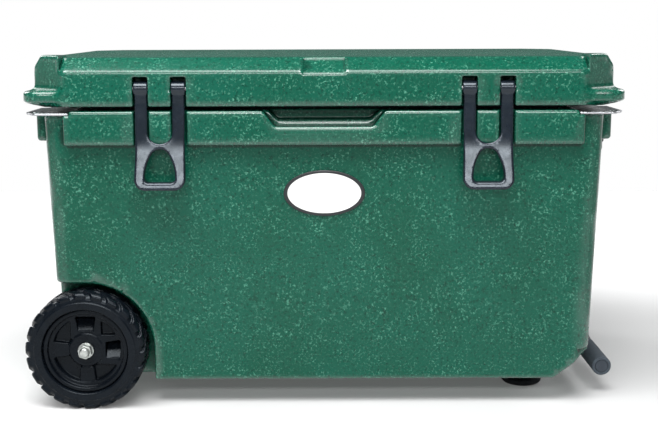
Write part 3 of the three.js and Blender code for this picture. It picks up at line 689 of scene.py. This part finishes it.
def latch_plate(x, y, z):
    """One sheet with a fork for its two arms and a finger hole."""
    fork_half, fork_low, top = 14.9, 351.7, 402
    ax = np.abs(x)
    half = 30.1 + 0.7 * np.clip((320 - z) / 20, 0, 1)
    outline = rounded(13.0, ax - half, slab(z, 281.5, 440))
    fork = np.where(z > fork_low, fork_half - ax, fork_half - np.hypot(x, z - fork_low))
    outline = smooth_max(outline, fork, 1.2)
    wide = 18.4 - np.clip((z - 296) / 34, 0, 1) ** 2 * 12
    hole = rounded(5.0, ax - wide, slab(z, 291, 329.5))
    outline = smooth_max(outline, -hole, 1.5)
    thick = np.maximum(latch_front_y(z) - y, y - latch_back_y(z))
    return smooth_max(smooth_max(outline, thick, 3.2), z - top, 1.0)


def latch(name, centre, body):
    clay = Clay((-34, -229, 277), (34, -184, 416), 0.62)
    clay.add(latch_plate)
    for side in (-1, 1):
        a, b = sorted((side * 14.0, side * 31.2))
        roll = tube_x(9.1, *LATCH_PIVOT, a, b, 1.6)
        clay.add(roll, (a, b, -208, -187, 391, 413), 0.6)
    clay.cut(tube_x(LATCH_BORE, *LATCH_PIVOT, -40, 40), (-33, 33, -202, -192, 397, 407), 0.4)
    made = clay.skin(name + "_pull", RUBBER_LATCH, 0.01)
    made.data.transform(Matrix.Translation(Vector((centre, 0, 0)) * MM))
    place(made, body, "latch_rubber", name)


# ---------------------------------------------------------------- wheels
LUGS = 22


def from_hub(x, z):
    return np.hypot(x - HUB[0], z - HUB[1])


def tyre(name, y0, body, node):
    clay = Clay((HUB[0] - 79, y0 - 27, HUB[1] - 79), (HUB[0] + 79, y0 + 27, HUB[1] + 79), 0.95)

    def carcass(x, y, z):
        reach = from_hub(x, z)
        tread = rounded(8.5, slab(reach, 54.0, 72.6), slab(y, y0 - 23, y0 + 23))
        shoulder = rounded(2.0, slab(reach, 54.0, 62.5), slab(y, y0 - 24.0, y0 + 24.0))
        ring = np.abs(np.hypot(reach - 62.5, np.abs(y - y0) - 23.2)) - 1.1
        return smooth_min(smooth_min(tread, shoulder, 2), ring, 1)

    def lugs(x, y, z):
        """Slanting bars across the tread, half a step apart on its two sides."""
        reach = from_hub(x, z)
        turn = np.arctan2(z - HUB[1], x - HUB[0])
        off = np.abs(y - y0)
        lean = turn + off * 0.011 + np.where(y > y0, math.pi / LUGS, 0.0)
        along = (np.mod(lean * LUGS / (2 * math.pi), 1.0) - 0.5) * (2 * math.pi * 73 / LUGS)
        outer = rounded(6.0, slab(reach, 66, 75.4), off - 23.4)
        bars = rounded(1.2, np.abs(along) - 6.6, 4.0 - off)
        centre = rounded(1.0, off - 2.6, reach - 74.8)
        return np.maximum(outer, np.minimum(bars, centre))

    clay.add(carcass)
    clay.add(lugs, None, 0.8)
    place(clay.skin(name, TYRE, 0.0), body, "tyre", node)


def spoke(degrees, face):
    """Reads a point along and across the spoke at an angle of the wheel's outer side."""
    turn = math.radians(degrees)
    ux, uz = math.cos(turn) * -face, math.sin(turn)

    def read(x, z):
        u, v = x - HUB[0], z - HUB[1]
        return u * ux + v * uz, u * -uz + v * ux

    return read


def rim_barrel(y0, face):
    def shape(x, y, z):
        reach = from_hub(x, z)
        depth = face * (y - y0)
        band = rounded(1.8, slab(reach, 47.5, 53.6), np.abs(depth) - 19.5)
        web = rounded(1.0, slab(reach, 15, 50), slab(depth, 1, 6))
        cone = rounded(2.5, slab(reach, 9.4, 23), slab(depth, -14, 11))
        step = rounded(2.0, slab(reach, 42, 49), slab(depth, 1, 14))
        return smooth_min(smooth_min(band, web, 2.5), smooth_min(cone, step, 1), 2.5)

    return shape


def pocket_wall(y0, face, read):
    def shape(x, y, z):
        reach = from_hub(x, z)
        along, across = read(x, z)
        ring = (reach - 47, 18 - reach, np.abs(across) - 19.5, -along + 14)
        return rounded(1.5, *ring, slab(face * (y - y0), -10, 13.0))

    return shape


def pocket(y0, face, read, foot_z):
    """A pocket whose floor is a ramp that faces up, with its foot at the given height."""

    def shape(x, y, z):
        along, across = read(x, z)
        depth = face * (y - y0)
        sides = np.abs(across) - (9.5 + (along - 24) * 0.16)
        ramp = 0.766 * (3.5 - depth + 9.5) - 0.643 * (z - foot_z)
        hollow = rounded(1.0, sides, slab(along, 24.5, 43), slab(depth, -9, 30))
        return smooth_max(hollow, ramp, 1.0)

    return shape


def raised_block(y0, face, read):
    def shape(x, y, z):
        along, across = read(x, z)
        sides = np.abs(across) - (8.6 + (along - 24) * 0.12)
        return rounded(1.5, sides, slab(along, 22, 46), slab(face * (y - y0), 0, 12.5))

    return shape


def wheel_rim(name, y0, face, body, node):
    """face is -1 where the outer side looks to the front."""
    clay = Clay((HUB[0] - 57, y0 - 26, HUB[1] - 57), (HUB[0] + 57, y0 + 26, HUB[1] + 57), 0.8)
    clay.add(rim_barrel(y0, face))
    for degrees, foot_z in ((90, HUB[1] + 24.5), (0, HUB[1] - 11.0)):
        read = spoke(degrees, face)
        clay.add(pocket_wall(y0, face, read), None, 1.5)
        clay.cut(pocket(y0, face, read, foot_z), None, 1.5)
    for degrees in (180, 270):
        clay.add(raised_block(y0, face, spoke(degrees, face)), None, 1.5)
    dish = lambda x, y, z: rounded(2.0, from_hub(x, z) - 17.5, slab(face * (y - y0), 13.9, 40))
    clay.add(tube_y(21.5, *HUB, *sorted((y0 + face * 2, y0 + face * 14.0)), 2.0), None, 2.0)
    clay.cut(tube_y(9.3, *HUB, y0 - 40, y0 + 40), None, 0.5)
    clay.cut(dish, None, 1.0)
    place(clay.skin(name, RIM_PLASTIC, 0.0), body, "black_plastic", node)


def hex_nut(name, y0, node):
    (x0, z0), sides, turned_by = HUB, 6, 12
    clay = Clay((x0 - 12, y0 - 6, z0 - 12), (x0 + 12, y0 + 6, z0 + 12), 0.35)

    def shape(x, y, z):
        u, v = x - x0, z - z0
        flats = None
        for k in range(sides // 2):
            a = math.radians(360 // sides * k + turned_by)
            d = np.abs(u * math.cos(a) + v * math.sin(a)) - 8.0
            flats = d if flats is None else np.maximum(flats, d)
        cone = 0.5 * (np.hypot(u, v) - 9.0) + 0.866 * (np.abs(y - y0) - 3.6)
        return np.maximum(smooth_max(flats, np.abs(y - y0) - 4.0, 0.5), cone)

    clay.add(shape)
    clay.cut(tube_y(6.2, x0, z0, y0 - 9, y0 + 9), None, 0.5)
    place(clay.skin(name, ZINC, 0.0), "box", "zinc_steel", node)


def washer(name, y0, node):
    profile = [(6.3, -1, 0.2), (9.9, -1, 0.5), (9.9, 1, 0.5), (6.3, 1, 0.2)]
    made = turned(name, profile, (HUB[0], y0, HUB[1]), "y", ZINC, 48)
    place(made, "box", "zinc_steel", node)


def axle():
    radius, tip, half, shoulder = 6, 4.8, 211, 209.4
    profile = [
        (0.01, -half, 0), (tip, -half, 0.3), (radius, -shoulder, 0.4),
        (radius, shoulder, 0.4), (tip, half, 0.3), (0.01, half, 0),
    ]
    made = turned("axle_rod", profile, (HUB[0], 0, HUB[1]), "y", ZINC, 40)
    place(made, "box", "zinc_steel", "axle")


# ---------------------------------------------------------------- fittings
def lock_plate(label, side):
    clay = Clay((302, -207, 367), (370, -57, 376), 0.6)
    clay.add(lambda x, y, z: rounded(0.5, plate_outline(x, y, 1), slab(z, 370.3, 372.9)))
    notch = lambda x, y, z: np.maximum(355 - x, slab(y, -104, 0))
    clay.cut(notch, (350, 372, -106, -50, 366, 376), 0.8)
    clay.cut(tube_z(4.5, *LOCK_HOLE, 360, 380), (348, 360, -190, -178, 366, 376), 0.5)
    for y0 in (-140, -82):
        screw = lambda x, y, z: np.hypot(x - 342, y - y0) - 2.4 - np.maximum(z - 370.6, 0) * 1.05
        clay.cut(screw, (335, 349, y0 - 6, y0 + 6, 366, 376), 0.2)
    made = clay.skin("lock_plate_" + label + "_steel", STAINLESS, 0.01)
    if side < 0:
        mirror(made, x=-1)
    place(made, "box", "stainless", "lock_plate_" + label)


BADGE_Z = 273.3
BADGE_INK = (0.0475, 0.0262)  # half sizes of the white field, in metres


def badge():
    tilt = math.atan(DRAFT)
    clay = Clay((-54, -4, -32), (54, 3, 32), 0.6)

    def oval(x, z, a, b):
        reach = np.sqrt((x / a) ** 2 + (z / b) ** 2)
        slope = np.sqrt((x / a**2) ** 2 + (z / b**2) ** 2) + 1e-6
        return reach * (reach - 1) / slope

    clay.add(lambda x, y, z: rounded(0.6, oval(x, z, 50, 28.5), slab(y, -2, 0)))
    made = clay.skin("badge_face", badge_material(), 0.01)
    made.data.transform(Matrix.Translation(-SHIFT))
    wall = -BODY_Y + DRAFT * (RIM_TOP - BADGE_Z)
    seat = Vector((0, wall - 0.3, BADGE_Z)) * MM + SHIFT
    made.data.transform(Matrix.Translation(seat) @ Matrix.Rotation(tilt, 4, "X"))
    place(made, "box", "badge", "badge_plate")


def badge_material():
    look = Looks("badge")
    split = look.nodes.new("ShaderNodeSeparateXYZ")
    look.link(look.place, split.inputs[0])

    def calc(kind, a, b):
        node = look.nodes.new("ShaderNodeMath")
        node.operation = kind
        for value, socket in ((a, node.inputs[0]), (b, node.inputs[1])):
            if hasattr(value, "is_output"):
                look.link(value, socket)
            else:
                socket.default_value = value
        return node.outputs[0]

    height = calc("SUBTRACT", split.outputs["Z"], BADGE_Z * MM)
    u = calc("POWER", calc("ABSOLUTE", calc("DIVIDE", split.outputs["X"], BADGE_INK[0]), 0), 2)
    v = calc("POWER", calc("ABSOLUTE", calc("DIVIDE", height, BADGE_INK[1]), 0), 2)
    reach = calc("SQRT", calc("ADD", u, v), 0)
    ink = look.ramp(reach, (0.0, 0.0), (0.945, 0.0), (0.96, 1.0), (1.0, 1.0))
    cloud = look.ramp(look.noise(40, 2), (0.3, 0.0), (0.7, 1.0))
    paper = look.mix(cloud, srgb(232, 233, 230), srgb(243, 244, 242))
    look.colour(look.mix(ink, paper, srgb(30, 33, 36)))
    look.roughness(look.ramp(look.noise(90, 2), (0.3, 0.32), (0.7, 0.42)))
    look.bump(look.noise(400, 2), 0.08, 0.0001)
    return look.material


def foot(label, y0):
    profile = [
        (7, 0, 0.3), (23.5, 0, 1.2), (26.6, 3, 1.5), (26.9, 7.5, 1.2), (24.8, 9.7, 0.8),
        (3.1, 9.7, 0), (3.1, 5, 0), (7, 5, 0.3),
    ]
    made = turned("foot_pad_" + label, profile, (FOOT[0], y0, 0), "z", PAD_RUBBER, 64)
    place(made, "box", "rubber", "foot_" + label)


# ---------------------------------------------------------------- tow handle
def grip(label, side):
    (x0, z0), half = TOW_BAR, 15
    clay = Clay((x0 - half, 54, z0 - half), (x0 + half, 154, z0 + half), 0.7)
    clay.add(tube_y(12.5, *TOW_BAR, 58, 150, 2.2))
    clay.cut(tube_y(GRIP_BORE, *TOW_BAR, 40, 170), None, 0.8)
    made = clay.skin("grip_sleeve_" + label, GRIP, 0.0)
    if side < 0:
        mirror(made, y=-1)
    place(made, "tow", "grip_foam", "tow_grip_" + label)


def end_plug(label, side):
    stem, head, inner, under, outer = 6.2, 8.1, 135.5, 147.4, 149.8
    profile = [
        (0.01, inner, 0), (stem, inner, 0.8), (stem, under, 0.3),
        (head, under, 0.3), (head, outer, 0.9), (0.01, outer, 0),
    ]
    middle = (TOW_BAR[0], 0, TOW_BAR[1])
    made = turned("end_plug_" + label, profile, middle, "y", PLUG_PLASTIC, 40)
    if side < 0:
        mirror(made, y=-1)
    place(made, "tow", "black_plastic", "tow_end_plug_" + label)


def tow_arm(label, y0):
    clay = Clay((338, y0 - 12, 26), (374, y0 + 12, 334), 0.85)
    (x1, z1), (x0, z0) = TOW_PIVOT, TOW_BAR
    run = np.array((x1 - x0, z1 - z0))
    span, radius = float(run @ run), 7.0

    def arm(x, y, z):
        t = np.clip(((x - x0) * run[0] + (z - z0) * run[1]) / span, 0, 1)
        off = (x - x0 - t * run[0]) ** 2 + (y - y0) ** 2 + (z - z0 - t * run[1]) ** 2
        return np.sqrt(off) - radius

    clay.add(arm)
    eye = tube_y(8.5, *TOW_PIVOT, y0 - 8, y0 + 8, 1.2)
    clay.add(eye, (342, 364, y0 - 8, y0 + 8, 310, 332), 3.0)
    collar = tube_y(12.0, *TOW_BAR, y0 - 9, y0 + 9, 1.5)
    clay.add(collar, (343, 372, y0 - 9, y0 + 9, 28, 56), 4.0)
    clay.cut(tube_y(TOW_BORE, *TOW_PIVOT, y0 - 20, y0 + 20), None, 0.4)
    clay.cut(tube_y(8.5, *TOW_BAR, y0 - 20, y0 + 20), None, 0.4)
    made = clay.skin("tow_arm_" + label + "_tube", POWDER, 0.005)
    place(made, "tow", "black_steel", "tow_arm_" + label)


def tow_bracket(label, side):
    clay = Clay((340, 82, 303), (364, 116, 337), 0.55)
    outline = [(344.7, 307), (352, 308), (360, 317), (360, 333.4), (344.7, 333.4)]
    clay.add(lambda x, y, z: rounded(1.2, convex(x, z, outline, 2.0), slab(y, 86, 112)))
    clay.cut(tube_y(TOW_BORE, *TOW_PIVOT, 60, 108), None, 0.4)
    for y0 in (93, 105):
        clay.cut(tube_x(2.3, y0, 329.5, 330, 370), None, 0.3)
    made = clay.skin("tow_bracket_" + label + "_block", BLACK_PLASTIC, 0.005)
    if side < 0:
        mirror(made, y=-1)
    place(made, "box", "black_plastic", "tow_bracket_" + label)


def gasket():
    """A flat band with two round lips under it."""
    clay = Clay((-309, -167, 373), (309, 167, 383), 1.0)
    lip_x, lip_z, lip_r = 2.2, 377.6, 1.9

    def ring(x, y, z):
        middle = rounded(22.0, np.abs(x) - 299.5, np.abs(y) - 157.5)
        inner = np.hypot(middle + lip_x, z - lip_z) - lip_r
        outer = np.hypot(middle - lip_x, z - lip_z) - lip_r
        band = rounded(0.6, np.abs(middle) - 4.4, slab(z, lip_z, 380.5))
        return smooth_min(band, np.minimum(inner, outer), 0.6)

    clay.add(ring)
    made = clay.skin("lid_seal", SEAL, 0.02)
    place(made, "lid", "gasket", "lid_gasket")


def drain_cap():
    clay = Clay((-364, -23, 80), (-308, 23, 128), 0.7)
    face = -338.2 - 3.2
    ribs, rib_reach = 20, 19.6
    clay.add(tube_x(19.0, 0, DRAIN_Z, face - 6, face, 1.6))
    clay.add(tube_x(10.4, 0, DRAIN_Z, face - 2, face + 26, 1.0), None, 0.8)
    clay.add(block(face - 14, face - 3, -3, 3, DRAIN_Z - 15, DRAIN_Z + 15, 1.4), None, 2.5)
    for k in range(ribs):
        a = 2 * math.pi * k / ribs
        y0, z0 = rib_reach * math.cos(a), DRAIN_Z + rib_reach * math.sin(a)
        clay.cut(tube_x(1.6, y0, z0, face - 12, face + 3), None, 0.8)
    made = clay.skin("drain_cap_knob", BLACK_PLASTIC, 0.0)
    place(made, "drain", "black_plastic", "drain_cap")


def rod(name, material, radius, centre, axis, half, body, slot, node):
    """A round bar with its ends chamfered by 0.8 mm."""
    chamfer = 0.8
    profile = [
        (0.01, -half, 0), (radius - chamfer, -half, 0.3), (radius, -half + chamfer, 0.3),
        (radius, half - chamfer, 0.3), (radius - chamfer, half, 0.3), (0.01, half, 0),
    ]
    place(turned(name, profile, centre, axis, material, 32), body, slot, node)


def crossbar():
    bore, radius, half = 6.7, 8.2, 147
    profile = [(bore, -half, 0.2), (radius, -half, 0.4), (radius, half, 0.4), (bore, half, 0.2)]
    made = turned("crossbar_tube", profile, (TOW_BAR[0], 0, TOW_BAR[1]), "y", POWDER, 40)
    place(made, "tow", "black_steel", "tow_crossbar")


# ---------------------------------------------------------------- carried-over CAD nodes
def dress(material, *prefixes):
    """Gives a Blender material to the small CAD pieces that stay as they are."""
    for name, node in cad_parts.items():
        if name.startswith(prefixes):
            node.data.materials.clear()
            node.data.materials.append(material)


# ---------------------------------------------------------------- stage, in metres
FLOOR_SIZE, FLOOR_Y = 9, -2.9
# The sky's height is a fraction: white below the first, and the sky's colour above the second.
HORIZON, SKY = (0.0195, 0.024), (0.12, 0.125, 0.13, 1)


def stage():
    bpy.ops.mesh.primitive_plane_add(size=FLOOR_SIZE, location=(0, FLOOR_Y, 0))
    floor = bpy.context.object
    floor.name = "studio_floor"
    floor.data.materials.append(floor_material())
    world = bpy.data.worlds.new("studio")
    bpy.context.scene.world = world
    world.use_nodes = True
    nodes, links = world.node_tree.nodes, world.node_tree.links
    place = nodes.new("ShaderNodeTexCoord")
    split = nodes.new("ShaderNodeSeparateXYZ")
    band = nodes.new("ShaderNodeValToRGB")
    links.new(place.outputs["Generated"], split.inputs[0])
    links.new(split.outputs["Z"], band.inputs["Fac"])
    links.new(band.outputs["Color"], nodes["Background"].inputs["Color"])
    for stop, position, colour in zip(band.color_ramp.elements, HORIZON, (grey(1), SKY)):
        stop.position = position
        stop.color = colour
    nodes["Background"].inputs["Strength"].default_value = 1.0
    lamp("key", (-0.4, -0.95, 2.2), (0, -0.1, 0.25), (2.3, 1.1), 104)
    lamp("sheen", (0.0, -2.6, 1.38), (0, -0.2, 0.33), (2.1, 0.3), 30)
    for side in (-1, 1):
        lamp("rear", (side * 2.1, 1.5, 1.7), (0, 0, 0.2), (1.1, 1.3), 26)


def lamp(name, where, at, size, power):
    light = bpy.data.lights.new(name, "AREA")
    light.shape = "RECTANGLE"
    light.size, light.size_y = size
    light.energy = power
    made = bpy.data.objects.new(name, light)
    made.location = where
    made.rotation_euler = (Vector(at) - Vector(where)).to_track_quat("-Z", "Y").to_euler()
    bpy.context.scene.collection.objects.link(made)


def camera():
    """Fitted to the photo; the focal length is in pixels of its 658-pixel width."""
    sensor, focal, photo_width = 36.0, 1100, 658
    look_down, roll = 10.0, 0.2
    data = bpy.data.cameras.new("camera")
    data.sensor_width = sensor
    data.lens = sensor * focal / photo_width
    data.shift_x = 0.008
    made = bpy.data.objects.new("camera", data)
    made.location = (0.0, -1.529, 0.480)
    made.rotation_euler = (math.radians(90 - look_down), math.radians(roll), 0)
    bpy.context.scene.collection.objects.link(made)
    bpy.context.scene.camera = made


camera()
body_shell()
lid_shell()
latch("latch_left", -LATCH_X, "latch_l")
latch("latch_right", LATCH_X, "latch_r")
for label, face, wheel in (("front", -1, "wheel_f"), ("rear", 1, "wheel_r")):
    tyre("tyre_" + label + "_tread", face * WHEEL_Y, wheel, "tyre_" + label)
    wheel_rim("wheel_" + label + "_hub", face * WHEEL_Y, face, wheel, "wheel_rim_" + label)
    washer("washer_" + label, face * 197.3, "axle_washer_" + label)
    hex_nut("nut_" + label, face * 202.6, "axle_nut_" + label)
    foot(label, face * FOOT[1])
    grip(label, face)
    end_plug(label, face)
    tow_arm(label, face * TOW_ARM_Y)
    tow_bracket(label, face)
axle()
crossbar()
tow_pivot = (TOW_PIVOT[0], 0, TOW_PIVOT[1])
rod("pivot_rod", POWDER, 5, tow_pivot, "y", 107.5, "tow", "black_steel", "tow_pivot_rod")
for label, side in (("left", -1), ("right", 1)):
    lock_plate(label, side)
    node, hinge = "hinge_rod_" + label, (side * HINGE_X, *HINGE)
    rod("hinge_pin_" + label, STAINLESS, 4, hinge, "x", 50, "box", "stainless", node)
badge()
gasket()
drain_cap()
dress(STAINLESS, "latch_pin", "lock_plate_screw")
dress(ZINC, "foot_screw")
dress(POWDER, "tow_bracket_screw")
dress(BLACK_PLASTIC, "body_fill_plug", "lid_fill_plug")
dress(PAD_RUBBER, "drain_seal")
dress(NYLON, "wheel_bush")
dress(INSULATION, "body_foam", "lid_foam")
stage()
bpy.context.scene.view_settings.view_transform = "Standard"
